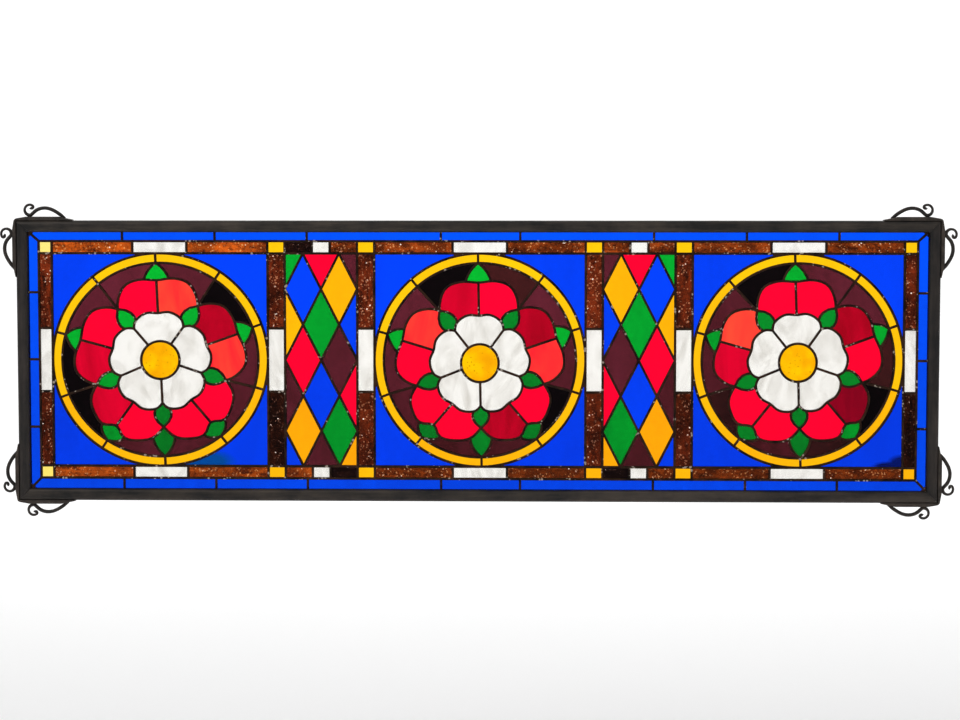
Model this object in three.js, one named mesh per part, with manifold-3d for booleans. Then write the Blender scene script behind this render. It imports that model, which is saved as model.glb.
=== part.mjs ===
// A stained glass window: three rose roundels and two harlequin panels in a blue border,
// held by solder lines and a channel frame with a strap and two wire scrolls at each corner.
// Millimetres. X runs along the window, the front faces -Y and Z is up.
// The origin is the middle of the two hanging points under the top scrolls.
import * as THREE from "three";
import { mergeVertices } from "three/addons/utils/BufferGeometryUtils.js";
import loadManifold from "manifold-3d";

const wasm = await loadManifold();
wasm.setup();

// Gap between two pieces that touch
const fit = 0.3;

// Frame: a channel whose slot takes the edges of the glass
const barFace = 10.8;
const barDepth = 12;
const barRounding = 3.2;
const barRoundingSteps = 2;
const slotDepth = 6;

// Glass and the solder lines on its front
const glassThick = 3;
const seamWide = 2;
const seamHigh = 0.6;
const railWide = 3.3;

// Rows, from the top
const topBorder = 8;
const topBand = 11.1;
const panelHigh = 194.4;
const bottomBand = 11.2;
const bottomBorder = 9.7;

// Columns
const sideBorder = 9.3;
const endPostWide = 11.9;
const postWide = 15.7;
const leftRoseWide = 197.1;
const middleRoseWide = 191.9;
const rightRoseWide = 190.8;
const leftHarlequinWide = 65.9;
const rightHarlequinWide = 65.5;
const columns = [
  { name: "post_1", wide: endPostWide },
  { name: "rose_left", wide: leftRoseWide },
  { name: "post_2", wide: postWide },
  { name: "harlequin_left", wide: leftHarlequinWide },
  { name: "post_3", wide: postWide },
  { name: "rose_middle", wide: middleRoseWide },
  { name: "post_4", wide: postWide },
  { name: "harlequin_right", wide: rightHarlequinWide },
  { name: "post_5", wide: postWide },
  { name: "rose_right", wide: rightRoseWide },
  { name: "post_6", wide: endPostWide },
];

// White tiles in the posts and bands
const postTileHigh = 57.8;
const roseTileWide = 49.4;
const harlequinTileWide = 16.2;

// Roses: radii as shares of the roundel's, each with its angle from the petal's axis
const ringWide = 8.6;
const petalCount = 5;
const petalStep = 360 / petalCount;
const petalHalf = petalStep / 2;
const arcStep = petalHalf / 2;
const bossReach = 0.178;
const rosetteJoint = 0.387;
const rosetteNotch = 0.446;
const rosetteLobe = { reach: 0.463, angle: 26 };
const leafTip = 0.622;
const petalNotch = 0.761;
const petalLobe = { reach: 0.785, angle: 14 };
const petalShoulder = { reach: 0.725, angle: 29 };
const sepalBase = { reach: 0.765, angle: 7.5 };
const lowSepal = { reach: 0.735, angle: 7.5, axis: 270 };
const cornerFacets = 3;
const roses = {
  rose_left: { turn: 2.3, drop: -0.3 },
  rose_middle: { turn: 1, drop: 2 },
  rose_right: { turn: 2, drop: 1.5 },
};

// Harlequin panels: diamonds across and down
const diamondsAcross = 2;
const diamondsDown = 3;

// Corner straps and wire scrolls
const strapThick = 3;
const strapLong = 55;
const strapDepth = 10;
const strapTaper = 12;
const strapTip = 0.9;
const strapCorner = 5;
const strapCornerSteps = 3;
const wireRadius = 1.4;
const wireSides = 5;
const wireSteps = 10;
const scrollCrown = { along: 25.5, out: 11 };
const archPoints = 4;
const curlAlong = 11.5;
const curlStart = 5.4;
const curlEnd = 4;
const curlTurn = 290;
const curlPoints = 8;

// Places worked out from the sizes above
const glassWide = columns.reduce((sum, column) => sum + column.wide, 0);
const sightWide = glassWide + 2 * sideBorder;
const sightHigh = topBorder + topBand + panelHigh + bottomBand + bottomBorder;
const frameWide = sightWide + 2 * barFace;
const frameHigh = sightHigh + 2 * barFace;
const bandTop = sightHigh / 2 - topBorder;
const panelTop = bandTop - topBand;
const panelBottom = panelTop - panelHigh;
const bandBottom = panelBottom - bottomBand;
const panelMiddle = (panelTop + panelBottom) / 2;
const seamFront = glassThick / 2 + fit + seamHigh;
const slotHalf = seamFront + fit;
const glassBite = slotDepth - 2 * fit;
const railOuter = glassBite - fit;
const railInner = railOuter - railWide;
const strapTop = fit + strapThick;
const scrollFoot = strapLong - strapTop - strapTaper;
const touchOut = strapTop + fit + wireRadius;
const curlOut = touchOut + curlStart;
const hangingHeight = frameHigh / 2 + scrollCrown.out - wireRadius;

const colours = {
  patina: "#2c2622",
  solder: "#3a342f",
  border: "#0a4cf0",
  brown: "#7a3512",
  post: "#8a4018",
  harlequin: "#d08a1c",
  corner: "#0a3ce8",
  ring: "#f6b70c",
  field: "#4a1a2c",
  petals: "#e00b2c",
  rosette: "#e8e4da",
  boss: "#e0a010",
};

const point = (x, z) => new THREE.Vector2(x, z);

function rectangle(left, bottom, right, top) {
  return [point(left, bottom), point(right, bottom), point(right, top), point(left, top)];
}

// Moves each edge of an outline inwards, or outwards where the distance is negative.
function inset(outline, distance) {
  const points = THREE.ShapeUtils.isClockWise(outline) ? [...outline].reverse() : outline;
  return points.map((here, i) => {
    const before = points[(i + points.length - 1) % points.length];
    const after = points[(i + 1) % points.length];
    const into = here.clone().sub(before).normalize();
    const away = after.clone().sub(here).normalize();
    const normals = point(-into.y - away.y, into.x + away.x);
    const reach = distance / (1 + into.dot(away));
    return here.clone().addScaledVector(normals, reach);
  });
}

// A plate with the given outline and holes, standing upright between two depths.
function plate(outline, holes, front, back) {
  const shape = new THREE.Shape(outline);
  shape.holes = holes.map((hole) => new THREE.Path(hole));
  const geometry = new THREE.ExtrudeGeometry(shape, {
    depth: back - front,
    bevelEnabled: false,
  });
  return geometry.rotateX(Math.PI / 2).translate(0, back, 0);
}

function toSolid(geometry) {
  const bare = geometry.clone();
  bare.deleteAttribute("normal");
  bare.deleteAttribute("uv");
  const merged = mergeVertices(bare, 1e-4);
  const mesh = new wasm.Mesh({
    numProp: 3,
    vertProperties: new Float32Array(merged.attributes.position.array),
    triVerts: new Uint32Array(merged.index.array),
  });
  return new wasm.Manifold(mesh);
}

function toGeometry(solid) {
  const mesh = solid.getMesh();
  const geometry = new THREE.BufferGeometry();
  geometry.setAttribute("position", new THREE.BufferAttribute(mesh.vertProperties, 3));
  geometry.setIndex(new THREE.BufferAttribute(mesh.triVerts, 1));
  const flat = geometry.toNonIndexed();
  flat.computeVertexNormals();
  return flat;
}

function glassMaterial(colour) {
  return new THREE.MeshStandardMaterial({ color: colour, roughness: 0.12, metalness: 0 });
}

function solderMaterial() {
  return new THREE.MeshStandardMaterial({
    color: colours.solder,
    roughness: 0.55,
    metalness: 0.8,
  });
}

function patinaMaterial() {
  return new THREE.MeshStandardMaterial({
    color: colours.patina,
    roughness: 0.5,
    metalness: 0.7,
  });
}

function namedMesh(name, geometry, material) {
  const mesh = new THREE.Mesh(geometry, material);
  mesh.name = name;
  return mesh;
}

function glassMesh(name, outline, colour, holes = []) {
  const gap = fit / 2;
  const openings = holes.map((hole) => inset(hole, -gap));
  const geometry = plate(inset(outline, gap), openings, -glassThick / 2, glassThick / 2);
  return namedMesh(name, geometry, glassMaterial(colour));
}

// The columns with their edges and middle
function placedColumns() {
  let left = -glassWide / 2;
  return columns.map((column) => {
    const right = left + column.wide;
    const placed = { name: column.name, left, right, middle: (left + right) / 2 };
    left = right;
    return placed;
  });
}

// A point of a roundel, which its panel's width makes slightly oval.
function rosePoint(panel, reach, angle) {
  const radius = panelHigh / 2;
  const { turn, drop } = roses[panel.name];
  const at = THREE.MathUtils.degToRad(angle + turn);
  const across = ((panel.right - panel.left) / 2) * reach * Math.cos(at);
  const sag = drop * Math.max(0, 1 - reach);
  return point(panel.middle + across, panelMiddle + radius * reach * Math.sin(at) - sag);
}

const petalAxis = (k) => 90 + petalStep * k;
const ringInner = 1 - ringWide / (panelHigh / 2);

function circleOutline(panel, reach) {
  const count = 360 / arcStep;
  return Array.from({ length: count }, (_, k) => rosePoint(panel, reach, 90 + arcStep * k));
}

// An outline that repeats one petal's points around the rose
function petalOutline(panel, steps) {
  const outline = [];
  for (let k = 0; k < petalCount; k += 1) {
    steps.forEach(([reach, angle]) => {
      outline.push(rosePoint(panel, reach, petalAxis(k) + angle));
    });
  }
  return outline;
}

function bossOutline(panel) {
  return petalOutline(panel, [
    [bossReach, 0],
    [bossReach, petalHalf],
  ]);
}

function rosetteOutline(panel) {
  return petalOutline(panel, [
    [rosetteLobe.reach, -rosetteLobe.angle],
    [rosetteNotch, 0],
    [rosetteLobe.reach, rosetteLobe.angle],
    [rosetteJoint, petalHalf],
  ]);
}

function wreathOutline(panel) {
  return petalOutline(panel, [
    [petalShoulder.reach, -petalShoulder.angle],
    [petalLobe.reach, -petalLobe.angle],
    [petalLobe.reach, petalLobe.angle],
    [petalShoulder.reach, petalShoulder.angle],
    [leafTip, petalHalf],
  ]);
}

// A tile of the rose, given by reaches and angles from an axis; side -1 mirrors it.
function roseTile(panel, axis, side, steps) {
  return steps.map(([reach, angle]) => rosePoint(panel, reach, axis + side * angle));
}

function whitePetal(panel, axis) {
  return roseTile(panel, axis, 1, [
    [bossReach, -petalHalf],
    [rosetteJoint, -petalHalf],
    [rosetteLobe.reach, -rosetteLobe.angle],
    [rosetteNotch, 0],
    [rosetteLobe.reach, rosetteLobe.angle],
    [rosetteJoint, petalHalf],
    [bossReach, petalHalf],
    [bossReach, 0],
  ]);
}

function leaf(panel, axis) {
  return roseTile(panel, axis + petalHalf, 1, [
    [rosetteJoint, 0],
    [rosetteLobe.reach, petalHalf - rosetteLobe.angle],
    [leafTip, 0],
    [rosetteLobe.reach, rosetteLobe.angle - petalHalf],
  ]);
}

function redPetal(panel, axis, side) {
  return roseTile(panel, axis, side, [
    [petalNotch, 0],
    [petalLobe.reach, petalLobe.angle],
    [petalShoulder.reach, petalShoulder.angle],
    [leafTip, petalHalf],
    [rosetteLobe.reach, rosetteLobe.angle],
    [rosetteNotch, 0],
  ]);
}

function sepal(panel, axis) {
  return roseTile(panel, axis, 1, [
    [sepalBase.reach, -sepalBase.angle],
    [ringInner, 0],
    [sepalBase.reach, sepalBase.angle],
  ]);
}

function bottomSepal(panel) {
  return roseTile(panel, lowSepal.axis, 1, [
    [leafTip, 0],
    [lowSepal.reach, -lowSepal.angle],
    [ringInner, 0],
    [lowSepal.reach, lowSepal.angle],
  ]);
}

// The dark glass between one sepal and the next
function fieldTile(panel, axis) {
  return roseTile(panel, axis, 1, [
    [sepalBase.reach, sepalBase.angle],
    [ringInner, 0],
    [ringInner, arcStep],
    [ringInner, petalHalf],
    [ringInner, petalHalf + arcStep],
    [ringInner, petalStep],
    [sepalBase.reach, petalStep - sepalBase.angle],
    [petalLobe.reach, petalStep - petalLobe.angle],
    [petalShoulder.reach, petalStep - petalShoulder.angle],
    [leafTip, petalHalf],
    [petalShoulder.reach, petalShoulder.angle],
    [petalLobe.reach, petalLobe.angle],
  ]);
}

// The same beside the low sepal, which parts it in two
function lowFieldTile(panel, side) {
  return roseTile(panel, lowSepal.axis, side, [
    [lowSepal.reach, lowSepal.angle],
    [petalShoulder.reach, petalHalf - petalShoulder.angle],
    [petalLobe.reach, petalHalf - petalLobe.angle],
    [sepalBase.reach, petalHalf - sepalBase.angle],
    [ringInner, petalHalf],
    [ringInner, arcStep],
    [ringInner, 0],
  ]);
}

function ringTile(panel, axis, side) {
  return roseTile(panel, axis, side, [
    [1, 0],
    [1, arcStep],
    [1, petalHalf],
    [ringInner, petalHalf],
    [ringInner, arcStep],
    [ringInner, 0],
  ]);
}

// The blue glass in a corner of the rose's panel, fitted to the facets of the ring
function cornerOutline(panel, corner) {
  const edgeX = corner.sideX < 0 ? panel.left : panel.right;
  const edgeZ = corner.sideZ < 0 ? panelBottom : panelTop;
  const arc = [];
  for (let k = 1; k <= cornerFacets + 1; k += 1) {
    arc.push(rosePoint(panel, 1, corner.from + arcStep * k));
  }
  const start = arc[0];
  const end = arc[arc.length - 1];
  const ends =
    corner.from % 180 === 0
      ? [point(end.x, edgeZ), point(edgeX, edgeZ), point(edgeX, start.y)]
      : [point(edgeX, end.y), point(edgeX, edgeZ), point(start.x, edgeZ)];
  return [...arc, ...ends];
}

const corners = [
  { name: "top_right", sideX: 1, sideZ: 1, from: 0 },
  { name: "top_left", sideX: -1, sideZ: 1, from: 90 },
  { name: "bottom_left", sideX: -1, sideZ: -1, from: 180 },
  { name: "bottom_right", sideX: 1, sideZ: -1, from: 270 },
];

function roseTiles(panel) {
  const tiles = [bossOutline(panel), bottomSepal(panel)];
  for (let k = 0; k < petalCount; k += 1) {
    const axis = petalAxis(k);
    tiles.push(whitePetal(panel, axis), leaf(panel, axis), sepal(panel, axis));
    if (axis + petalHalf === lowSepal.axis) {
      tiles.push(lowFieldTile(panel, 1), lowFieldTile(panel, -1));
    } else {
      tiles.push(fieldTile(panel, axis));
    }
    [1, -1].forEach((side) => {
      tiles.push(redPetal(panel, axis, side), ringTile(panel, axis, side));
    });
  }
  corners.forEach((corner) => tiles.push(cornerOutline(panel, corner)));
  return tiles;
}

// Whole diamonds, and the halves and quarters that the panel's edges leave
function harlequinTiles(panel) {
  const stepX = (panel.right - panel.left) / (2 * diamondsAcross);
  const stepZ = panelHigh / (2 * diamondsDown);
  const tiles = [];
  for (let row = 0; row <= 2 * diamondsDown; row += 1) {
    const z = panelBottom + row * stepZ;
    for (let column = 0; column <= 2 * diamondsAcross; column += 1) {
      if ((row + column) % 2 === 1) {
        continue;
      }
      const x = panel.left + column * stepX;
      const corners = [
        point(x + stepX, z),
        point(x, z + stepZ),
        point(x - stepX, z),
        point(x, z - stepZ),
      ];
      const inside = corners.filter(
        (corner) =>
          corner.x > panel.left - fit &&
          corner.x < panel.right + fit &&
          corner.y > panelBottom - fit &&
          corner.y < panelTop + fit,
      );
      tiles.push(inside.length > 2 ? inside : [point(x, z), ...inside]);
    }
  }
  return tiles;
}

// The tiles of a band, whose white ones stand over the middle of each panel
function bandTiles(placed, bottom, top) {
  const edges = [];
  placed.forEach((column) => {
    edges.push(column.left);
    if (!column.name.startsWith("post")) {
      const white = column.name.startsWith("rose") ? roseTileWide : harlequinTileWide;
      edges.push(column.middle - white / 2, column.middle + white / 2);
    }
  });
  edges.push(glassWide / 2);
  return edges.slice(1).map((right, k) => rectangle(edges[k], bottom, right, top));
}

function postTiles(post) {
  const white = postTileHigh / 2;
  const edges = [panelBottom, panelMiddle - white, panelMiddle + white, panelTop];
  return edges.slice(1).map((top, k) => rectangle(post.left, edges[k], post.right, top));
}

// One side of the border, mitred at its ends, reaching past the sight line by a distance
function borderSides(past) {
  const inner = rectangle(-glassWide / 2, bandBottom, glassWide / 2, bandTop);
  const wide = sightWide / 2 + past;
  const high = sightHigh / 2 + past;
  const outer = rectangle(-wide, -high, wide, high);
  return ["bottom", "right", "top", "left"].map((name, k) => {
    const next = (k + 1) % 4;
    return { name, outline: [outer[k], outer[next], inner[next], inner[k]] };
  });
}

function solderLines(placed) {
  const tiles = [
    ...bandTiles(placed, panelTop, bandTop),
    ...bandTiles(placed, bandBottom, panelBottom),
    ...borderSides(railInner + seamWide / 2).map((side) => side.outline),
  ];
  placed.forEach((column) => {
    if (column.name.startsWith("post")) {
      tiles.push(...postTiles(column));
    } else if (column.name.startsWith("rose")) {
      tiles.push(...roseTiles(column));
    } else {
      tiles.push(...harlequinTiles(column));
    }
  });
  const wide = sightWide / 2 + railOuter;
  const high = sightHigh / 2 + railOuter;
  const back = seamHigh - seamFront;
  const sheet = toSolid(plate(rectangle(-wide, -high, wide, high), [], -seamFront, back));
  const holes = tiles.map((tile) => {
    const outline = inset(tile, seamWide / 2);
    return toSolid(plate(outline, [], -seamFront - fit, back + fit));
  });
  const lines = wasm.Manifold.difference([sheet, ...holes]);
  return namedMesh("solder_lines", toGeometry(lines), solderMaterial());
}

function roseGlass(panel) {
  const { name } = panel;
  const ringEdge = circleOutline(panel, ringInner);
  const wreath = wreathOutline(panel);
  const rosette = rosetteOutline(panel);
  const boss = bossOutline(panel);
  const meshes = [
    glassMesh(name + "_ring", circleOutline(panel, 1), colours.ring, [ringEdge]),
    glassMesh(name + "_field", ringEdge, colours.field, [wreath]),
    glassMesh(name + "_petals", wreath, colours.petals, [rosette]),
    glassMesh(name + "_rosette", rosette, colours.rosette, [boss]),
    glassMesh(name + "_boss", boss, colours.boss),
  ];
  corners.forEach((corner) => {
    const outline = cornerOutline(panel, corner);
    meshes.push(glassMesh(name + "_corner_" + corner.name, outline, colours.corner));
  });
  return meshes;
}

function plainGlass(placed) {
  const half = glassWide / 2;
  const meshes = [
    glassMesh("band_top", rectangle(-half, panelTop, half, bandTop), colours.brown),
    glassMesh("band_bottom", rectangle(-half, bandBottom, half, panelBottom), colours.brown),
  ];
  borderSides(glassBite).forEach((side) => {
    meshes.push(glassMesh("border_" + side.name, side.outline, colours.border));
  });
  placed.forEach((column) => {
    const outline = rectangle(column.left, panelBottom, column.right, panelTop);
    if (column.name.startsWith("post")) {
      meshes.push(glassMesh(column.name, outline, colours.post));
    } else if (column.name.startsWith("harlequin")) {
      meshes.push(glassMesh(column.name, outline, colours.harlequin));
    }
  });
  return meshes;
}

// The channel's section: X is measured inwards from the outer face, Y through the depth.
function barProfile() {
  const half = barDepth / 2;
  const round = barRounding;
  const floor = barFace - slotDepth;
  const shape = new THREE.Shape();
  shape.moveTo(0, round - half);
  shape.absarc(round, round - half, round, Math.PI, Math.PI * 1.5);
  shape.lineTo(barFace - round, -half);
  shape.absarc(barFace - round, round - half, round, -Math.PI / 2, 0);
  shape.lineTo(barFace, -slotHalf);
  shape.lineTo(floor, -slotHalf);
  shape.lineTo(floor, slotHalf);
  shape.lineTo(barFace, slotHalf);
  shape.lineTo(barFace, half - round);
  shape.absarc(barFace - round, half - round, round, 0, Math.PI / 2);
  shape.lineTo(round, half);
  shape.absarc(round, half - round, round, Math.PI / 2, Math.PI);
  return shape;
}

// A bar whose outer face is at the top, with its ends mitred by moving their points
function barGeometry(length) {
  const geometry = new THREE.ExtrudeGeometry(barProfile(), {
    depth: length,
    bevelEnabled: false,
    curveSegments: barRoundingSteps,
  });
  const places = geometry.attributes.position;
  for (let i = 0; i < places.count; i += 1) {
    const inward = places.getX(i);
    const end = Math.sign(places.getZ(i) - length / 2);
    const along = end * (length / 2 - inward - fit / 2);
    places.setXYZ(i, along, places.getY(i), -inward);
  }
  geometry.computeVertexNormals();
  return geometry;
}

function frameBars() {
  const sides = [
    { name: "top", length: frameWide, out: frameHigh / 2 },
    { name: "right", length: frameHigh, out: frameWide / 2 },
    { name: "bottom", length: frameWide, out: frameHigh / 2 },
    { name: "left", length: frameHigh, out: frameWide / 2 },
  ];
  return sides.map((side, k) => {
    const geometry = barGeometry(side.length);
    const bar = namedMesh("frame_" + side.name, geometry, patinaMaterial());
    const turned = (k * Math.PI) / 2;
    bar.rotation.y = turned;
    bar.position.set(side.out * Math.sin(turned), 0, side.out * Math.cos(turned));
    return bar;
  });
}

// A strap bent round a corner of the frame, thinner towards its two ends
function strap(corner) {
  const innerX = frameWide / 2 + fit;
  const innerZ = frameHigh / 2 + fit;
  const outerX = innerX + strapThick;
  const outerZ = innerZ + strapThick;
  const outline = [
    point(innerX, innerZ),
    point(outerX - strapLong, innerZ),
    point(outerX - strapLong, innerZ + strapTip),
    point(outerX - strapLong + strapTaper, outerZ),
  ];
  for (let k = 0; k <= strapCornerSteps; k += 1) {
    const at = (Math.PI / 2) * (1 - k / strapCornerSteps);
    const x = outerX - strapCorner + strapCorner * Math.cos(at);
    outline.push(point(x, outerZ - strapCorner + strapCorner * Math.sin(at)));
  }
  outline.push(
    point(outerX, outerZ - strapLong + strapTaper),
    point(innerX + strapTip, outerZ - strapLong),
    point(innerX, outerZ - strapLong),
  );
  const placed = outline.map(({ x, y }) => point(x * corner.sideX, y * corner.sideZ));
  const geometry = plate(placed, [], -strapDepth / 2, strapDepth / 2);
  return namedMesh("strap_" + corner.name, geometry, patinaMaterial());
}

// A scroll's centre line as distances along the bar from the corner and out from its face:
// an arch from the foot over the crown, both ends on the strap, then a curl that tightens.
function scrollPoints() {
  const { along: crown, out: rise } = scrollCrown;
  const points = [];
  for (let k = 0; k < archPoints; k += 1) {
    const share = k / archPoints;
    const climb = Math.sin((Math.PI / 2) * share) ** 2;
    points.push([
      scrollFoot + (crown - scrollFoot) * share,
      touchOut + (rise - touchOut) * climb,
    ]);
  }
  for (let k = 0; k < archPoints; k += 1) {
    const share = k / archPoints;
    const fall = Math.cos((Math.PI / 2) * share) ** 2;
    points.push([crown + (curlAlong - crown) * share, touchOut + (rise - touchOut) * fall]);
  }
  for (let k = 0; k <= curlPoints; k += 1) {
    const share = k / curlPoints;
    const radius = curlStart + (curlEnd - curlStart) * share;
    const at = THREE.MathUtils.degToRad(-90 - curlTurn * share);
    points.push([curlAlong + radius * Math.cos(at), curlOut + radius * Math.sin(at)]);
  }
  return points;
}

function wireSection() {
  const section = new THREE.Shape();
  for (let k = 0; k < wireSides; k += 1) {
    const at = (2 * Math.PI * k) / wireSides;
    const x = wireRadius * Math.cos(at);
    const y = wireRadius * Math.sin(at);
    if (k === 0) {
      section.moveTo(x, y);
    } else {
      section.lineTo(x, y);
    }
  }
  return section;
}

// Each corner has a scroll on its level bar and one on its upright bar.
function scroll(corner, direction) {
  const centreLine = scrollPoints().map(([along, out]) => {
    const level = direction === "level";
    const x = frameWide / 2 + (level ? -along : out);
    const z = frameHigh / 2 + (level ? out : -along);
    return new THREE.Vector3(corner.sideX * x, 0, corner.sideZ * z);
  });
  const geometry = new THREE.ExtrudeGeometry(wireSection(), {
    steps: wireSteps,
    bevelEnabled: false,
    extrudePath: new THREE.CatmullRomCurve3(centreLine),
  });
  const name = "scroll_" + corner.name + "_" + direction;
  return namedMesh(name, geometry, patinaMaterial());
}

function stainedGlassWindow() {
  const placed = placedColumns();
  const panel = new THREE.Group();
  panel.add(solderLines(placed), ...plainGlass(placed), ...frameBars());
  placed
    .filter((column) => column.name.startsWith("rose"))
    .forEach((column) => panel.add(...roseGlass(column)));
  corners.forEach((corner) => {
    panel.add(strap(corner), scroll(corner, "level"), scroll(corner, "upright"));
  });
  panel.position.z = -hangingHeight;
  return panel;
}

const stainedGlass = new THREE.Group();
stainedGlass.name = "stained_glass_window";
stainedGlass.add(stainedGlassWindow());

export default stainedGlass;
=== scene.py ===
import math
import bpy
from mathutils import Matrix, Vector


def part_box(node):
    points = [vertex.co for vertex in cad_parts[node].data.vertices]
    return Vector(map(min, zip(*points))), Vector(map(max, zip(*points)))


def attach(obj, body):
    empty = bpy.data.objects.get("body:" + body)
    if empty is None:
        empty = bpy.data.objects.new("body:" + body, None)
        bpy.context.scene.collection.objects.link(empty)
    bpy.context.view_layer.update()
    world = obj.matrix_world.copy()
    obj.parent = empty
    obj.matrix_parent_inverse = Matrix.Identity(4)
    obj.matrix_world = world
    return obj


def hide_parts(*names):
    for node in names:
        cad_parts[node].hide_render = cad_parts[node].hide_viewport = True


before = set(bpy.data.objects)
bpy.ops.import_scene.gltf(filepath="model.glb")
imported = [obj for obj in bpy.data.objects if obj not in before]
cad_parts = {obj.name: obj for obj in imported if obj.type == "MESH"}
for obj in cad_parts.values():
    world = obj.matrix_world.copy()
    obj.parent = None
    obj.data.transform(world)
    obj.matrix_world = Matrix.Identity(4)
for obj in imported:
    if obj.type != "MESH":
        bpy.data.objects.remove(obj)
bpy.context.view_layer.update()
mm = 0.001


# selection and small mesh jobs

def deselectAll():
    if bpy.context.object and bpy.context.object.mode != "OBJECT":
        bpy.ops.object.mode_set(mode="OBJECT")
    bpy.ops.object.select_all(action="DESELECT")


def pick(piece):
    deselectAll()
    piece.select_set(True)
    bpy.context.view_layer.objects.active = piece


def editMode(piece, kind="FACE", everything=True):
    pick(piece)
    bpy.ops.object.mode_set(mode="EDIT")
    bpy.ops.mesh.select_mode(type=kind)
    bpy.ops.mesh.select_all(action="SELECT" if everything else "DESELECT")


def objectMode():
    bpy.ops.object.mode_set(mode="OBJECT")


def selectWhere(piece, kind, test):
    # picks faces by their middle and normal, or edges by their middle and direction
    editMode(piece, kind, everything=False)
    objectMode()
    mesh = piece.data
    if kind == "FACE":
        for face in mesh.polygons:
            face.select = test(face.center, face.normal)
    else:
        for edge in mesh.edges:
            a, b = (mesh.vertices[i].co for i in edge.vertices)
            edge.select = test((a + b) / 2, a - b)
    bpy.ops.object.mode_set(mode="EDIT")


def extrudeBy(x, y, z):
    bpy.ops.mesh.extrude_region_move(TRANSFORM_OT_translate={"value": (x, y, z)})


def faceOutwards():
    bpy.ops.mesh.select_all(action="SELECT")
    bpy.ops.mesh.normals_make_consistent(inside=False)


def addObject(name, data):
    made = bpy.data.objects.new(name, data)
    bpy.context.collection.objects.link(made)
    return made


def applyPlace(piece):
    pick(piece)
    bpy.ops.object.transform_apply(location=True, rotation=True, scale=True)


def finishPiece(piece, nodes, materials, smooth):
    # smooth: the sharpest angle, in degrees, that is still shaded round
    for material in materials:
        piece.data.materials.append(material)
    pick(piece)
    bpy.ops.object.shade_smooth_by_angle(angle=math.radians(smooth))
    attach(piece, "root")
    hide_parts(*nodes)


# shader nodes

class Sock:
    # wraps an output so that sums on values become Math nodes
    def __init__(self, graph, output):
        self.graph = graph
        self.output = output

    def sum(self, operation, other):
        return self.graph.add("ShaderNodeMath", {"operation": operation}, {0: self, 1: other})

    def __add__(self, other):
        return self.sum("ADD", other)

    def __sub__(self, other):
        return self.sum("SUBTRACT", other)

    def __mul__(self, other):
        return self.sum("MULTIPLY", other)


class Graph:
    def __init__(self, name):
        self.material = bpy.data.materials.new(name)
        self.material.use_nodes = True
        self.tree = self.material.node_tree
        self.shader = self.tree.nodes["Principled BSDF"]

    def add(self, kind, settings=None, inputs=None, output=0):
        node = self.tree.nodes.new(kind)
        for key, value in (settings or {}).items():
            setattr(node, key, value)
        for key, value in (inputs or {}).items():
            self.feed(node.inputs[key], value)
        return Sock(self, node.outputs[output])

    def feed(self, socket, value):
        if isinstance(value, Sock):
            self.tree.links.new(value.output, socket)
        else:
            socket.default_value = value

    def set(self, **values):
        for key, value in values.items():
            self.feed(self.shader.inputs[key.replace("_", " ")], value)

    def place(self, scale=(1, 1, 1), shift=(0, 0, 0)):
        place = self.add("ShaderNodeTexCoord", output="Object")
        inputs = {"Vector": place, "Location": shift, "Scale": scale}
        return self.add("ShaderNodeMapping", {}, inputs)

    def tone(self):
        # how light a tile is: lighter towards the top left, and a little different from tile to
        # tile
        return self.add("ShaderNodeAttribute", {"attribute_name": "tone"}, output="Fac")

    def around(self, centre, size):
        # 1 at a place of the window, falling to 0 at the rim of a flat oval round it
        scale = (1 / size[0], 0, 1 / size[1])
        shift = (-centre[0] / size[0], 0, -centre[1] / size[1])
        inputs = {"Vector": self.place(scale, shift)}
        settings = {"gradient_type": "SPHERICAL"}
        return self.add("ShaderNodeTexGradient", settings, inputs, "Fac")

    def noise(self, scale, detail=3, rough=0.5, bend=0, stretch=(1, 1, 1)):
        inputs = {"Vector": self.place(stretch), "Scale": scale, "Detail": detail}
        inputs.update({"Roughness": rough, "Distortion": bend})
        return self.add("ShaderNodeTexNoise", {}, inputs, "Fac")

    def cells(self, scale):
        # distance to the middle of the nearest cell
        inputs = {"Vector": self.place(), "Scale": scale, "Randomness": 1.0}
        return self.add("ShaderNodeTexVoronoi", {"feature": "F1"}, inputs, "Distance")

    def range(self, value, low, high, start=0, end=1):
        inputs = {"Value": value, "From Min": low, "From Max": high}
        inputs.update({"To Min": start, "To Max": end})
        return self.add("ShaderNodeMapRange", {"clamp": True}, inputs, "Result")

    def mix(self, factor, first, second):
        # a Mix node's colours go in at 6 and 7 and come out at 2
        settings = {"data_type": "RGBA"}
        return self.add("ShaderNodeMix", settings, {"Factor": factor, 6: first, 7: second}, 2)

    def bump(self, height, strength, distance):
        inputs = {"Height": height, "Strength": strength, "Distance": distance}
        self.set(Normal=self.add("ShaderNodeBump", {}, inputs, "Normal"))


def linear(red, green, blue):
    # a screen colour as shader values
    parts = [value / 255 for value in (red, green, blue)]
    parts = [v / 12.92 if v <= 0.04045 else ((v + 0.055) / 1.055) ** 2.4 for v in parts]
    return (*parts, 1)


# window layout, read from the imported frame

gap = 0.3 * mm    # clearance between neighbouring solids
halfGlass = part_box("post_1")[1].y
beadFront = -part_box("solder_lines")[0].y


def placeOf(node):
    low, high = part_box(node)
    return low.x - gap / 2, high.x + gap / 2, low.z - gap / 2, high.z + gap / 2


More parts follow.
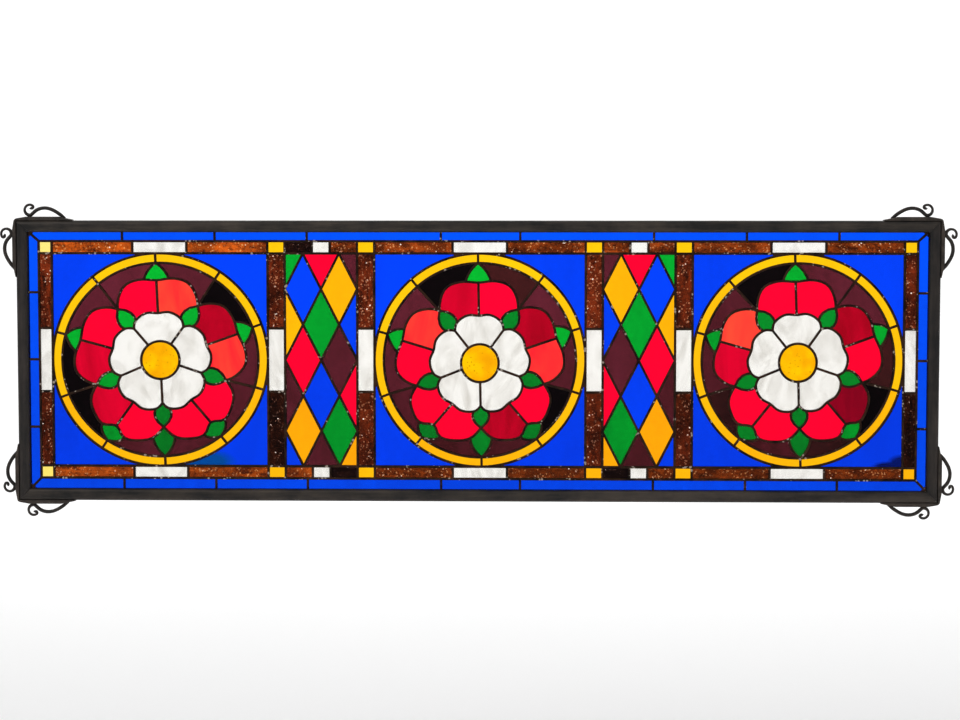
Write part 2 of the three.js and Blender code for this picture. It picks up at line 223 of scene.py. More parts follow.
posts = [placeOf("post_%d" % k) for k in range(1, 7)]
panelBottom, panelTop = posts[0][2:]
bandTop = placeOf("band_top")[3]
bandBottom = placeOf("band_bottom")[2]
glassLeft, glassRight = posts[0][0], posts[5][1]
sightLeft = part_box("frame_left")[1].x
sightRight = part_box("frame_right")[0].x
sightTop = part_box("frame_top")[0].z
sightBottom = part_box("frame_bottom")[1].z
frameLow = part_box("frame_bottom")[0].z
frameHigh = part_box("frame_top")[1].z
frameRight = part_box("frame_right")[1].x
middleZ = (frameLow + frameHigh) / 2
panelMiddle = (panelBottom + panelTop) / 2
reachZ = (panelTop - panelBottom) / 2
print("layout: glass %.1f mm wide" % ((glassRight - glassLeft) / mm))


def block(left, bottom, right, top):
    return [(left, bottom), (right, bottom), (right, top), (left, top)]


# glass colours: the deeper tone and the lighter tone of each sheet, as screen colours

palette = {
    "blue": ((2, 50, 208), (0, 64, 250)),
    "borderBlue": ((2, 58, 208), (0, 80, 252)),
    "yellow": ((244, 168, 8), (254, 198, 8)),
    "paleYellow": ((248, 216, 96), (252, 228, 124)),
    "diamondAmber": ((240, 148, 6), (255, 186, 4)),
    "green": ((0, 100, 26), (2, 172, 46)),
    "leaf": ((2, 112, 30), (2, 184, 46)),
    "deepLeaf": ((4, 98, 26), (4, 142, 40)),
    "red": ((240, 0, 40), (255, 0, 48)),
    "crimson": ((186, 0, 32), (218, 0, 42)),
    "darkCrimson": ((150, 0, 22), (186, 0, 34)),
    "deepCrimson": ((112, 0, 22), (140, 0, 28)),
    "coral": ((250, 24, 44), (255, 72, 50)),
    "purple": ((56, 17, 20), (96, 32, 46)),
    "dimPurple": ((30, 11, 11), (64, 24, 25)),
    "black": ((4, 1, 2), (9, 4, 6)),
    "brown": ((48, 14, 6), (212, 92, 22)),
    "umber": ((32, 9, 4), (158, 66, 18)),
    "darkBrown": ((6, 2, 3), (34, 14, 9)),
    "postBrown": ((22, 6, 3), (118, 42, 16)),
    "postDark": ((6, 2, 2), (52, 20, 9)),
    "amber": ((236, 156, 0), (255, 190, 0)),
    "white": ((216, 212, 204), (253, 251, 246)),
}


glassIndex = 1.45
drawnTall = (1, 1, 0.35)       # streaks that run up the sheet
acrossRail = (0.5, 1, 1.4)
acrossPost = (1.4, 1, 0.5)
# painted highlight: the near-white colour of the small glints painted on the brown glass
paintedGlintColour = (1, 0.86, 0.78, 1)
seedDark = (0.3, 0.12, 0.01, 1)
# painted highlight: colour of the bright glints painted at a few specks on the solder
metalGlintColour = (0.42, 0.35, 0.29, 1)


def bothTones(colour):
    return [linear(*tone) for tone in palette[colour]]


def tintOf(colour):
    # colour for the faint reflection off a dark pane
    light = linear(*palette[colour][1])[:3]
    return (*[min(1, 0.1 + value) for value in light], 1)


def glaze(graph, body, colour, rough):
    graph.set(Base_Color=body, Specular_Tint=tintOf(colour))
    graph.set(Roughness=rough, IOR=glassIndex, Transmission_Weight=1.0)


def clearGlass(name, colour, streak=0.3):
    # even cathedral glass with faint streaks and a slight ripple
    graph = Graph(name)
    deep, light = bothTones(colour)
    soft = graph.noise(22, 2, bend=1.5, stretch=drawnTall) - 0.5
    fine = graph.noise(190) - 0.5
    shade = graph.tone() + soft * streak * 2 + fine * streak
    glaze(graph, graph.mix(shade, deep, light), colour, 0.03)
    graph.bump(graph.noise(60, 2), 0.12, 0.4 * mm)
    return graph.material


def cloudedGlass(name, colour, cloud, ovals):
    # clear glass, darker in soft ovals in one corner
    graph = Graph(name)
    deep, light = bothTones(colour)
    soft = graph.noise(22, 2, bend=1.5, stretch=drawnTall) - 0.5
    body = graph.mix(graph.tone() + soft * 0.8, deep, light)
    for centre, size in ovals:
        darkOval = graph.range(graph.around(centre, size), 0, 0.45)
        body = graph.mix(darkOval, body, linear(*cloud))
    glaze(graph, body, colour, 0.03)
    graph.bump(graph.noise(60, 2), 0.12, 0.4 * mm)
    return graph.material


def streakyGlass(name, colour):
    # two tones swirled together, as in the coral and the deep red petals
    graph = Graph(name)
    deep, light = bothTones(colour)
    swirl = graph.noise(26, 4, 0.6, bend=2.2, stretch=(1, 1, 0.3))
    glaze(graph, graph.mix(graph.range(swirl, 0.34, 0.68), deep, light), colour, 0.04)
    graph.bump(graph.noise(90), 0.16, 0.4 * mm)
    return graph.material


def hammeredGlass(name, colour, stretch=acrossRail, glintAmount=0.27):
    # brown glass, dimpled all over, with amber streaks and painted highlights: small bright glints
    # at some of the dimples
    graph = Graph(name)
    deep, light = bothTones(colour)
    streaks = graph.noise(70, 3, 0.6, bend=1.4, stretch=stretch)
    grain = graph.noise(360, 3, 0.6)
    shade = graph.range(streaks * 0.55 + grain * 0.45, 0.38, 0.6) * (graph.tone() * 0.8 + 0.5)
    shade = shade * graph.range(graph.noise(34, 2), 0.38, 0.6, 0.4, 1.15)    # darker stretches
    cells = graph.cells(340)
    patch = graph.range(graph.noise(150, 2), 0.38, 0.6)
    # painted highlights: bright glints painted at the middles of some dimples
    paintedGlints = graph.range(cells - patch * glintAmount, -0.01, 0.04, 1, 0)
    glaze(graph, graph.mix(paintedGlints, graph.mix(shade, deep, light), paintedGlintColour), colour, 0.08)
    graph.bump(cells, 0.35, 0.5 * mm)
    return graph.material


def opalGlass(name, colour):
    # milky white glass with soft wisps
    graph = Graph(name)
    deep, light = bothTones(colour)
    wisps = graph.noise(30, 4, 0.55, bend=2.5, stretch=(1, 1, 0.6))
    shade = graph.range(wisps, 0.3, 0.56, 0.05, 0.9) + graph.tone() * 0.3 - 0.15
    graph.set(Base_Color=graph.mix(shade, deep, light))
    graph.set(Roughness=0.24, IOR=glassIndex, Transmission_Weight=0.88)
    graph.bump(graph.noise(70), 0.2, 0.5 * mm)
    return graph.material


def seedyGlass(name, colour):
    # amber glass with a few seeds and smoky specks
    graph = Graph(name)
    deep, light = bothTones(colour)
    cells = graph.cells(230)
    patch = graph.noise(60, 2)
    seeds = graph.range(cells - patch * 0.3, -0.04, 0.03, 0.7, 0)
    body = graph.mix(graph.range(patch, 0.35, 0.65), deep, light)
    glaze(graph, graph.mix(seeds, body, seedDark), colour, 0.05)
    graph.bump(cells, 0.15, 0.4 * mm)
    return graph.material


def patina(name, light, dark, streaks, rough=0.42, specks=0, shine=0.5):
    # dark patina on metal, brushed lengthwise, worn brighter in patches; a few specks are painted
    # highlights, small bright glints
    graph = Graph(name)
    long = graph.noise(90, 4, 0.65, stretch=streaks)
    patches = graph.noise(34, 4, 0.65)
    blend = graph.range(long * 0.6 + patches * 0.4, 0.4, 0.62)
    body = graph.mix(blend, linear(*dark), linear(*light))
    if specks:
        # painted highlights: a few specks painted bright as glints
        glintPatches = graph.range(graph.noise(60), 0.5, 0.62, 0, specks)
        body = graph.mix(graph.range(graph.cells(300) - glintPatches, -0.02, 0.05, 1, 0), body, metalGlintColour)
    graph.set(Base_Color=body, Metallic=0.35, Specular_IOR_Level=shine)
    graph.set(Roughness=graph.range(patches, 0.3, 0.7, rough - 0.1, rough + 0.14))
    graph.bump(long * 0.6 + graph.noise(240) * 0.5, 0.25, 0.5 * mm)
    return graph.material


# tiles

tileForm = {
    "beadHalf": 1.12 * mm,    # half the width of a solder line
    "bead": [(0.42, 0.965), (0.78, 0.83), (1, 0.6)],    # its section, shares of width and height
    "weld": 0.02 * mm,        # points that lie closer are one
    "tuck": 0.7 * mm,         # from a joint's middle to the edge of the glass
    "blobHigh": 0.96,         # a filled corner's height, as a share of a bead's
    "blobUnder": 0.8 * mm,    # how far it runs in under a ring's bead
    "blobLong": 4.5 * mm,     # side of those in the frame's corners
}
toneForm = {"base": 0.16, "rise": 0.72, "across": 0.12, "own": 0.1}
allOutlines = []    # every tile, for the solder lines


def drawnFaces(name, outlines, depth):
    # the cartoon: each tile is one flat face facing the front
    corners = []
    faces = []
    for outline in outlines:
        start = len(corners)
        corners += [(x, -depth, z) for x, z in outline]
        faces.append(list(range(start, start + len(outline))))
    mesh = bpy.data.meshes.new(name)
    mesh.from_pydata(corners, [], faces)
    return addObject(name, mesh)


def area(outline):
    pairs = zip(outline, outline[1:] + outline[:1])
    return sum(a[0] * b[1] - b[0] * a[1] for a, b in pairs) / 2


def frontFacing(outline):
    return outline if area(outline) > 0 else outline[::-1]


def toneOf(outline, number):
    # tiles are lighter towards the top left and darker towards the bottom right; each tile also
    # differs a little from the next
    x = sum(point[0] for point in outline) / len(outline)
    z = sum(point[1] for point in outline) / len(outline)
    high = (z - sightBottom) / (sightTop - sightBottom)
    across = (x - sightLeft) / (sightRight - sightLeft)
    own = math.sin(number * 12.9 + x * 78)    # looks like chance, and is the same each time
    tone = toneForm["base"] + toneForm["rise"] * high - toneForm["across"] * across
    return min(1, max(0, tone + toneForm["own"] * own))


def cutGlass(name, tiles, nodes, materials):
    # tiles are (outline, material number); the glass runs a little under the solder
    outlines = [frontFacing(outline) for outline, number in tiles]
    allOutlines.extend(outlines)
    piece = drawnFaces(name, outlines, halfGlass)
    tones = piece.data.attributes.new("tone", "FLOAT", "FACE")
    for face, (outline, number) in zip(piece.data.polygons, tiles):
        face.material_index = number
        tones.data[face.index].value = toneOf(outline, face.index)
    editMode(piece)
    bpy.ops.mesh.inset(thickness=tileForm["tuck"], use_individual=True, use_even_offset=True)
    bpy.ops.mesh.select_all(action="INVERT")
    bpy.ops.mesh.delete(type="FACE")
    bpy.ops.mesh.select_all(action="SELECT")
    extrudeBy(0, 2 * halfGlass, 0)
    faceOutwards()
    objectMode()
    finishPiece(piece, nodes, materials, smooth=20)


def solderLines(fills, material):
    # half a bead along the inside of every tile's outline, so two neighbours make a whole one
    piece = drawnFaces("solderLines", allOutlines, beadFront)
    editMode(piece)
    last = (0, 1)
    for part, high in tileForm["bead"]:
        wide = (part - last[0]) * tileForm["beadHalf"]
        drop = (high - last[1]) * beadFront
        bpy.ops.mesh.inset(thickness=wide, depth=drop, use_individual=True, use_even_offset=True)
        last = (part, high)
    extrudeBy(0, beadFront * last[1], 0)
    bpy.ops.mesh.delete(type="ONLY_FACE")
    bpy.ops.mesh.select_all(action="SELECT")
    bpy.ops.mesh.duplicate()
    bpy.ops.transform.resize(value=(1, -1, 1), center_override=(0, 0, 0))
    bpy.ops.mesh.flip_normals()    # the mirrored half faces the back again
    bpy.ops.mesh.select_all(action="SELECT")
    bpy.ops.mesh.remove_doubles(threshold=tileForm["weld"])
    objectMode()
    blobFront = beadFront * tileForm["blobHigh"]
    blobs = drawnFaces("solderBlobs", fills, blobFront)
    editMode(blobs)
    extrudeBy(0, 2 * blobFront, 0)
    faceOutwards()
    objectMode()
    pick(piece)
    blobs.select_set(True)
    bpy.ops.object.join()
    finishPiece(piece, ["solder_lines"], [material], smooth=50)


# border, bands and posts

borderForm = {
    # joints along top and bottom, and along the sides, in mm from the middle
    "level": [-322.5, -238, -154, -32, 40, 161, 244.7, 328],
    "upright": [-60.7, 1.2, 62.5],
    "under": 3.5 * mm,                # how far the glass runs into the frame
}


def borderTiles():
    under = borderForm["under"]
    left, right = sightLeft - under, sightRight + under
    top, bottom = sightTop + under, sightBottom - under
    level = [x * mm for x in borderForm["level"]]
    upright = [middleZ + z * mm for z in borderForm["upright"]]
    tiles = []
    for inner, outer in ((bandTop, top), (bandBottom, bottom)):
        near = [glassLeft, *level, glassRight]
        far = [left, *level, right]
        for k in range(len(near) - 1):
            a, b, c, d = near[k], near[k + 1], far[k + 1], far[k]
            tiles.append([(a, inner), (b, inner), (c, outer), (d, outer)])
    for inner, outer in ((glassLeft, left), (glassRight, right)):
        near = [bandBottom, *upright, bandTop]
        far = [bottom, *upright, top]
        for k in range(len(near) - 1):
            a, b, c, d = near[k], near[k + 1], far[k + 1], far[k]
            tiles.append([(inner, a), (inner, b), (outer, c), (outer, d)])
    return tiles


bandForm = {
    "roseTile": 49.4 * mm,        # white tile over the middle of a rose
    "harlequinTile": 16.2 * mm,
    "postTile": 57.8 * mm,
    "darkTop": [3],               # nearly black brown tiles, counted from the left
    "darkBottom": [4, 7],
    "umberTop": 4,                # from here on the sheet is deeper
    "umberBottom": 5,
    "darkPosts": [(6, 0), (2, 0)],    # post, and its tile counted from the foot
}


def bandTiles():
    # outline and kind of each tile of both bands
    tiles = []
    for bottom, top, dark, umber in (
        (panelTop, bandTop, bandForm["darkTop"], bandForm["umberTop"]),
        (bandBottom, panelBottom, bandForm["darkBottom"], bandForm["umberBottom"]),
    ):
        number = 0
        for k, post in enumerate(posts):
            kind = "paleYellow" if k == 0 else "yellow"
            tiles.append((block(post[0], bottom, post[1], top), kind))
            if k == len(posts) - 1:
                break
            start, end = post[1], posts[k + 1][0]
            half = (bandForm["roseTile"] if k % 2 == 0 else bandForm["harlequinTile"]) / 2
            middle = (start + end) / 2
            for left, right in ((start, middle - half), (middle + half, end)):
                number += 1
                kind = "darkBrown" if number in dark else "brown" if number < umber else "umber"
                tiles.append((block(left, bottom, right, top), kind))
            tiles.append((block(middle - half, bottom, middle + half, top), "white"))
    return tiles


def postTiles():
    tiles = []
    half = bandForm["postTile"] / 2
    edges = [panelBottom, panelMiddle - half, panelMiddle + half, panelTop]
    for k, post in enumerate(posts):
        for row in range(3):
            kind = "white" if row == 1 else "postBrown"
            if (k + 1, row) in bandForm["darkPosts"]:
                kind = "postDark"
            tiles.append((block(post[0], edges[row], post[1], edges[row + 1]), kind))
    return tiles


# harlequin panels

harlequinRows = [
    # colours across each row of the left panel, from the top
    ["green", "red", "purple"],
    ["blue", "amber"],
    ["amber", "green", "blue"],
    ["red", "purple"],
    ["purple", "blue", "red"],
    ["amber", "green"],
    ["blue", "purple", "amber"],
]


def harlequinTiles(left, right, mirror):
    stepX, stepZ = (right - left) / 4, (panelTop - panelBottom) / 6
    tiles = []
    for row, colours in enumerate(harlequinRows):
        z = panelTop - row * stepZ
        columns = [0, 2, 4] if len(colours) == 3 else [1, 3]
        for column, colour in zip(columns, colours):
            x = left + column * stepX
            ring = [(x + stepX, z), (x, z + stepZ), (x - stepX, z), (x, z - stepZ)]
            inside = [
                (a, b) for a, b in ring
                if left - gap < a < right + gap and panelBottom - gap < b < panelTop + gap
            ]
            outline = inside if len(inside) > 2 else [(x, z), *inside]
            if mirror:
                outline = [(left + right - a, b) for a, b in outline]
            tiles.append((outline, colour))
    return tiles


# roses; reaches are shares of the roundel's radius, angles are from a petal's axis

halfPetal = 36          # degrees from the middle of a petal to its side
lowAxes = (234, 306)    # the two lower petals
petalAxes = [90, 162, 234, 306, 18]
roseForm = {
    "ring": 8.6 * mm,
    "boss": 0.178,
    "rosette": [(0, 0.458), (13, 0.476), (29, 0.444), (36, 0.392)],
    "wreath": [(0, 0.77), (12, 0.797), (22, 0.788), (31, 0.706), (36, 0.634)],
    "lowWreath": [(0, 0.748), (8.5, 0.812), (18, 0.79), (28, 0.737), (36, 0.634)],
    "leafFoot": 27.5,
    "leafSide": (0.53, 24.2),
    "sepalFoot": 8.5,
    "sepalSide": (0.857, 5.8),
    "squareSepalSide": (0.868, 7.9),    # on the two lower petals
    "lowSepalFoot": 8.0,                # the sixth sepal, between the lower petals
    "lowSepalSide": (0.828, 6.2),
    "step": 3,                # degrees between the points of a curve
    "nearest": 0.8,           # no step this close to a curve's end
    "joined": 0.1 * mm,       # points that lie closer are one
    "cornerCut": 12.5,        # where a corner tile's thin ends stop
    "twisted": (0.7, 0.9),    # reaches between which a seam's twist grows
    "flower": (0.2, 0.5),     # from the boss's sag to the flower's
    "ringFrom": 0.8,          # the sag fades from here to the ring
    "footTurn": (0.2, 0.8),   # how near to straight down the foot begins, as a sine
    "footReach": (0.42, 0.62),
}
ringInner = 1 - roseForm["ring"] / reachZ
# seams of the ring that are off their place: where they belong and by how much, in degrees
handTwist = {126: 2.8, 234: -3.2, 54: -1.6}
# turn: of the whole rose, in degrees; sag: how far boss, flower and ring sit low, in mm
roses = {
    "left": {
        "edges": (posts[0][1], posts[1][0]), "turn": 2.3, "sag": (0.2, 2.1, 1.0), "twist": {},
    },
    "middle": {
        "edges": (posts[2][1], posts[3][0]), "turn": 1.0, "sag": (2.5, 4.0, 2.2),
        "twist": handTwist,
    },
    "right": {
        "edges": (posts[4][1], posts[5][0]), "turn": 2.0, "sag": (1.5, 2.9, 0.8),
        "twist": handTwist,
    },
}
# petal colours anticlockwise from the one left of the top axis
petalColours = {
    "left": [
        "red", "red", "crimson", "crimson", "red", "red", "red", "coral", "darkCrimson", "coral",
    ],
    "middle": [
        "crimson", "coral", "red", "red", "red", "darkCrimson", "red", "coral", "darkCrimson",
        "red",
    ],
    "right": [
        "red", "coral", "crimson", "red", "red", "red", "deepCrimson", "red", "darkCrimson",
        "red",
    ],
}
# field tiles anticlockwise from the one left of the top sepal: nearly black, and dim
darkField = {"left": [2, 3, 8], "middle": [0, 6], "right": [0, 6]}
dimField = {"left": [], "middle": [9], "right": [3, 5, 7]}
# petals anticlockwise from the top one, whose leaf and whose sepal are a deeper green
deepLeaves = {"left": [2, 3], "middle": [0, 1, 2, 3, 4], "right": [0, 1, 2, 3, 4]}
deepSepals = {"left": [3], "middle": [2, 3], "right": [2]}


def reachAt(knots, angle):
    # a smooth edge through a few angles and reaches, the same on both sides of the axis
    angle = abs(angle)
    points = [(-knots[1][0], knots[1][1]), *knots]
    last, before = knots[-1], knots[-2]
    points.append((2 * last[0] - before[0], 2 * last[1] - before[1]))
    for k in range(1, len(points) - 2):
        (a0, r0), (a1, r1), (a2, r2), (a3, r3) = points[k - 1:k + 3]
        if angle <= a2 or k == len(points) - 3:
            t = (angle - a1) / (a2 - a1)
            m1 = (r2 - r0) / (a2 - a0) * (a2 - a1)
            m2 = (r3 - r1) / (a3 - a1) * (a2 - a1)
            return (
                (2 * t ** 3 - 3 * t ** 2 + 1) * r1 + (t ** 3 - 2 * t ** 2 + t) * m1
                + (3 * t ** 2 - 2 * t ** 3) * r2 + (t ** 3 - t ** 2) * m2
            )


def edgeAlong(knots, start, end):
    # (reach, angle) pairs along a rosette or wreath edge, broken at whole steps
    step, nearest = roseForm["step"], roseForm["nearest"]
    low, high = min(start, end), max(start, end)
    whole = range(-2 * halfPetal, 2 * halfPetal + 1, step)
    angles = [low] + [a for a in whole if low + nearest < a < high - nearest] + [high]
    if start > end:
        angles.reverse()
    return [(reachAt(knots, a), a) for a in angles]


def arcAlong(reach, start, end):
    count = max(1, round(abs(end - start) / roseForm["step"]))
    return [(reach, start + (end - start) * k / count) for k in range(count + 1)]


def bend(start, through, end):
    # a curved side from start to end that is pulled towards a point
    points = []
    for t in (0, 0.25, 0.5, 0.75, 1):
        first, second, third = (1 - t) ** 2, 2 * t * (1 - t), t ** 2
        pairs = zip(start, through, end)
        points.append(tuple(first * a + second * b + third * c for a, b, c in pairs))
    return points


def share(value, low, high):
    return min(1, max(0, (value - low) / (high - low)))


def twistAt(rose, reach, angle):
    outer = share(reach, *roseForm["twisted"])
    twist = 0
    for seam, turn in rose["twist"].items():
        away = abs((angle - seam + 180) % 360 - 180)
        twist += outer * turn * max(0, 1 - away / halfPetal)
    return twist


def rosePlace(rose, reach, angle):
    left, right = rose["edges"]
    at = math.radians(angle + rose["turn"] + twistAt(rose, reach, angle))
    # handwork let the boss and the flower sink; the ring stays round, its seams move along it
    boss, flower, ring = [depth * mm for depth in rose["sag"]]
    onRing = share(reach, roseForm["ringFrom"], ringInner)
    at -= onRing * ring * math.cos(at) / reachZ
    sag = (boss + (flower - boss) * share(reach, *roseForm["flower"])) * (1 - onRing)
    # the foot stayed in its place
    foot = share(-math.sin(at), *roseForm["footTurn"]) * share(reach, *roseForm["footReach"])
    x = (left + right) / 2 + (right - left) / 2 * reach * math.cos(at)
    return x, panelMiddle + reachZ * reach * math.sin(at) - sag * (1 - foot)


def roseTile(rose, axis, side, *stretches):
    # joins the stretches into one outline, leaving out the points they share
    outline = []
    for reach, angle in [pair for stretch in stretches for pair in stretch]:
        place = rosePlace(rose, reach, axis + side * angle)
        if not outline or math.dist(outline[-1], place) > roseForm["joined"]:
            outline.append(place)
    if math.dist(outline[0], outline[-1]) < roseForm["joined"]:
        outline.pop()
    return outline


boss, rosette, lowWreath = (roseForm[part] for part in ("boss", "rosette", "lowWreath"))
leafFoot, sepalFoot = roseForm["leafFoot"], roseForm["sepalFoot"]
leafTip = (roseForm["wreath"][-1][1], halfPetal)
lowFoot = halfPetal - roseForm["lowSepalFoot"]


def wreathOf(axis):
    return roseForm["lowWreath" if axis in lowAxes else "wreath"]


def leafSide():
    return bend((reachAt(rosette, leafFoot), leafFoot), roseForm["leafSide"], leafTip)


def sepalSide(axis):
    through = roseForm["squareSepalSide" if axis in lowAxes else "sepalSide"]
    return bend((reachAt(wreathOf(axis), sepalFoot), sepalFoot), through, (ringInner, 0))


def lowSepalSide():
    reach, angle = roseForm["lowSepalSide"]
    start = (reachAt(lowWreath, lowFoot), lowFoot)
    return bend(start, (reach, halfPetal - angle), (ringInner, halfPetal))


def mirrored(stretch, about):
    return [(reach, 2 * about - angle) for reach, angle in reversed(stretch)]


def whitePetal(rose, axis):
    inner = arcAlong(boss, halfPetal, -halfPetal)
    return roseTile(rose, axis, 1, inner, edgeAlong(rosette, -halfPetal, halfPetal))


def redPetal(rose, axis, side):
    return roseTile(
        rose, axis, side, edgeAlong(wreathOf(axis), 0, halfPetal), leafSide()[::-1],
        edgeAlong(rosette, leafFoot, 0),
    )


def leafTile(rose, axis):
    foot = edgeAlong(rosette, halfPetal, leafFoot)
    return roseTile(
        rose, axis, 1, foot, leafSide(), mirrored(leafSide(), halfPetal),
        mirrored(foot, halfPetal),
    )


def sepalTile(rose, axis):
    foot = edgeAlong(wreathOf(axis), -sepalFoot, sepalFoot)
    return roseTile(rose, axis, 1, foot, sepalSide(axis), mirrored(sepalSide(axis), 0))


def lowSepalTile(rose, axis):
    foot = edgeAlong(lowWreath, halfPetal, lowFoot)
    return roseTile(
        rose, axis, 1, foot, lowSepalSide(), mirrored(lowSepalSide(), halfPetal),
        mirrored(foot, halfPetal),
    )


def fieldTile(rose, axis, side, besideLow):
    if besideLow:
        start = lowSepalSide()[::-1] + edgeAlong(lowWreath, lowFoot, sepalFoot)
    else:
        start = [(ringInner, halfPetal)] + edgeAlong(wreathOf(axis), halfPetal, sepalFoot)
    return roseTile(rose, axis, side, start, sepalSide(axis), arcAlong(ringInner, 0, halfPetal))


def ringTile(rose, axis, side):
    inner = arcAlong(ringInner, halfPetal, 0)
    return roseTile(rose, axis, side, arcAlong(1, 0, halfPetal), inner)


def cornerTile(rose, start):
    # blue glass between the ring and a corner of the panel
    cut = roseForm["cornerCut"]
    left, right = rose["edges"]
    first = start + cut - rose["turn"]
    arc = [rosePlace(rose, 1, a) for _, a in arcAlong(1, first, first + 90 - 2 * cut)]
    edgeX = right if start in (0, 270) else left
    edgeZ = panelTop if start in (0, 90) else panelBottom
    if start % 180 == 0:
        ends = [(arc[-1][0], edgeZ), (edgeX, edgeZ), (edgeX, arc[0][1])]
    else:
        ends = [(edgeX, arc[-1][1]), (edgeX, edgeZ), (arc[0][0], edgeZ)]
    return arc + ends


def solderFills():
    # solder between a ring and the seam that it nearly touches, and in the corners of the frame
    fills = []
    long = tileForm["blobLong"]
    for x, inX in ((sightLeft, long), (sightRight, -long)):
        for z, inZ in ((sightTop, -long), (sightBottom, long)):
            fills.append(frontFacing([(x, z), (x + inX, z), (x, z + inZ)]))
    cut = roseForm["cornerCut"]
    under = 1 - tileForm["blobUnder"] / reachZ
    for rose in roses.values():
        left, right = rose["edges"]
        for side in (0, 90, 180, 270):
            angles = [a - rose["turn"] for _, a in arcAlong(1, side - cut, side + cut)]
            first, last = rosePlace(rose, 1, angles[0]), rosePlace(rose, 1, angles[-1])
            if side % 180 == 0:
                edge = right if side == 0 else left
                ends = [(edge, last[1]), (edge, first[1])]
            else:
                edge = panelTop if side == 90 else panelBottom
                ends = [(last[0], edge), (first[0], edge)]
            low = [rosePlace(rose, under, a) for a in angles]
            fills.append(frontFacing(low + ends))
    return fills


def placeRose(name, rose, glass):
    node = "rose_" + name + "_"
    colours, dark, dim = petalColours[name], darkField[name], dimField[name]
    petals, field, leaves, sepals, ring, whites = [], [], [], [], [], []
    for k, axis in enumerate(petalAxes):
        whites.append((whitePetal(rose, axis), 0))
        leaves.append((leafTile(rose, axis), int(k in deepLeaves[name])))
        sepals.append((sepalTile(rose, axis), int(k in deepSepals[name])))
        for side in (-1, 1):
            number = (2 * k + (0 if side > 0 else -1)) % 10
            besideLow = (axis, side) in zip(lowAxes, (1, -1))
            petals.append((redPetal(rose, axis, side), glass["reds"].index(colours[number])))
            shade = 1 if number in dark else 2 if number in dim else 0
            field.append((fieldTile(rose, axis, side, besideLow), shade))
            ring.append((ringTile(rose, axis, side), 0))
    sepals.append((lowSepalTile(rose, lowAxes[0]), 1))
    middle = [(roseTile(rose, petalAxes[0], 1, arcAlong(boss, 0, 360)), 0)]
    label = name.capitalize()
    cutGlass("ring" + label, ring, [node + "ring"], [glass["yellow"]])
    purples = [glass["purple"], glass["black"], glass["dimPurple"]]
    greens = [glass["leaf"], glass["deepLeaf"]]
    cutGlass("field" + label, field, [node + "field"], purples)
    cutGlass("sepals" + label, sepals, [node + "field"], greens)
    cutGlass("leaves" + label, leaves, [node + "petals"], greens)
    reds = [glass[colour] for colour in glass["reds"]]
    cutGlass("petals" + label, petals, [node + "petals"], reds)
    cutGlass("rosette" + label, whites, [node + "rosette"], [glass["white"]])
    cutGlass("boss" + label, middle, [node + "boss"], [glass["amber"]])
    corners = [(cornerTile(rose, start), int(start == 270)) for start in (0, 90, 180, 270)]
    lower = glass[clouds[name]["glass"]]
    ends = ("top_left", "top_right", "bottom_left", "bottom_right")
    names = [node + "corner_" + end for end in ends]
    cutGlass("corners" + label, corners, names, [glass["blue"], lower])


# darker patches at the foot of two of the lower right corner tiles: middle and size of ovals
leftPost, rightPost = posts[1][0], posts[5][0]
clouds = {
    "left": {
        "glass": "tealCloud",
        "colour": (0, 66, 140),
        "ovals": [((leftPost - 58 * mm, panelBottom + 4 * mm), (30 * mm, 12 * mm))],
    },
    "middle": {"glass": "blue"},
    "right": {
        "glass": "navyCloud",
        "colour": (2, 14, 84),
        "ovals": [
            ((rightPost - 1 * mm, panelBottom + 4 * mm), (14 * mm, 9 * mm)),
            ((rightPost - 13 * mm, panelBottom + 1 * mm), (16 * mm, 5.5 * mm)),
        ],
    },
}


def makeGlass():
    teal, navy = clouds["left"], clouds["right"]
    glass = {
        "blue": clearGlass("cobaltGlass", "blue"),
        "tealCloud": cloudedGlass("tealCloudGlass", "blue", teal["colour"], teal["ovals"]),
        "navyCloud": cloudedGlass("navyCloudGlass", "blue", navy["colour"], navy["ovals"]),
        "borderBlue": clearGlass("borderGlass", "borderBlue"),
        "yellow": clearGlass("yellowGlass", "yellow"),
        "paleYellow": clearGlass("paleYellowGlass", "paleYellow"),
        "diamondAmber": clearGlass("amberGlass", "diamondAmber"),
        "green": clearGlass("greenGlass", "green"),
        "leaf": clearGlass("leafGlass", "leaf"),
        "deepLeaf": clearGlass("deepLeafGlass", "deepLeaf"),
        "red": clearGlass("redGlass", "red"),
        "crimson": streakyGlass("crimsonGlass", "crimson"),
        "darkCrimson": streakyGlass("darkCrimsonGlass", "darkCrimson"),
        "deepCrimson": streakyGlass("deepCrimsonGlass", "deepCrimson"),
        "coral": streakyGlass("coralGlass", "coral"),
        "purple": clearGlass("purpleGlass", "purple", 0.5),
        "dimPurple": clearGlass("dimPurpleGlass", "dimPurple", 0.5),
        "black": clearGlass("blackGlass", "black"),
        "white": opalGlass("opalGlass", "white"),
        "amber": seedyGlass("seedyAmberGlass", "amber"),
        "brown": hammeredGlass("brownGlass", "brown"),
        "umber": hammeredGlass("umberGlass", "umber"),
        "darkBrown": hammeredGlass("darkBrownGlass", "darkBrown", glintAmount=0.17),
        "postBrown": hammeredGlass("postGlass", "postBrown", acrossPost, 0.3),
        "postDark": hammeredGlass("postDarkGlass", "postDark", acrossPost, 0.24),
    }
    glass["reds"] = ["red", "crimson", "darkCrimson", "deepCrimson", "coral"]
    return glass


